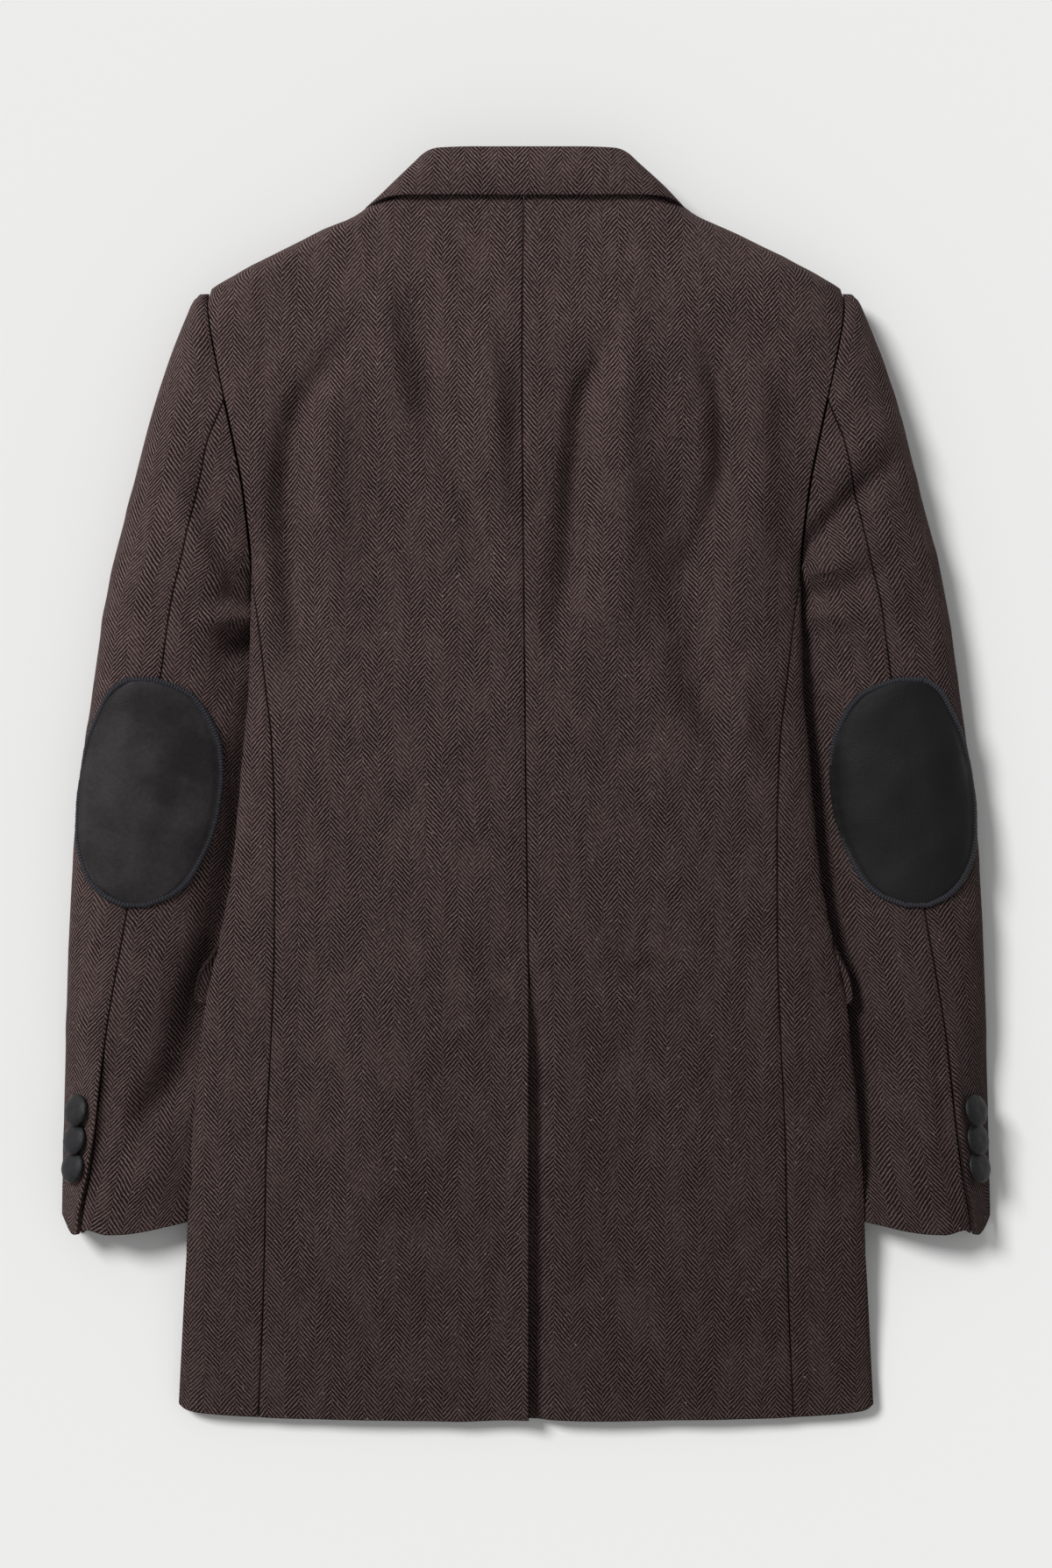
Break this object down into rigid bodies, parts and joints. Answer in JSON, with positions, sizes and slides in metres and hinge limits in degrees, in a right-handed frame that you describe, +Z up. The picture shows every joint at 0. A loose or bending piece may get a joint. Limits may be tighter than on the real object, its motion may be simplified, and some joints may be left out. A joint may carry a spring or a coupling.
{
  "type": "tweed overcoat",
  "caption": "Man's herringbone tweed overcoat laid flat face down, with long sleeves, turned collar, oval elbow patches, cuff buttons and a centre back vent.",
  "frame": {"origin": "middle of the flat underside, on the surface that the coat lies on", "axes": "+Y from the hem to the collar, +Z up through the coat's back, +X to the wearer's right"},
  "size_m": [0.664, 0.9037, 0.049],
  "materials": {
    "tweed": "dark brown herringbone tweed, matt and slightly fuzzy",
    "patch_leather": "black leather with a soft dull sheen",
    "button": "black, satin"
  },
  "bodies": {
    "root": {"back_left": "tweed", "back_right": "tweed", "front_left": "tweed", "front_right": "tweed", "lapel_left": "tweed", "lapel_right": "tweed", "collar": "tweed", "collar_stand": "tweed", "top_sleeve_left": "tweed", "top_sleeve_right": "tweed", "under_sleeve_left": "tweed", "under_sleeve_right": "tweed", "pocket_flap_left": "tweed", "pocket_flap_right": "tweed", "elbow_patch_left": "patch_leather", "elbow_patch_right": "patch_leather", "cuff_button_left_1": "button", "cuff_button_left_2": "button", "cuff_button_left_3": "button", "cuff_button_right_1": "button", "cuff_button_right_2": "button", "cuff_button_right_3": "button"}
  },
  "joints": []
}
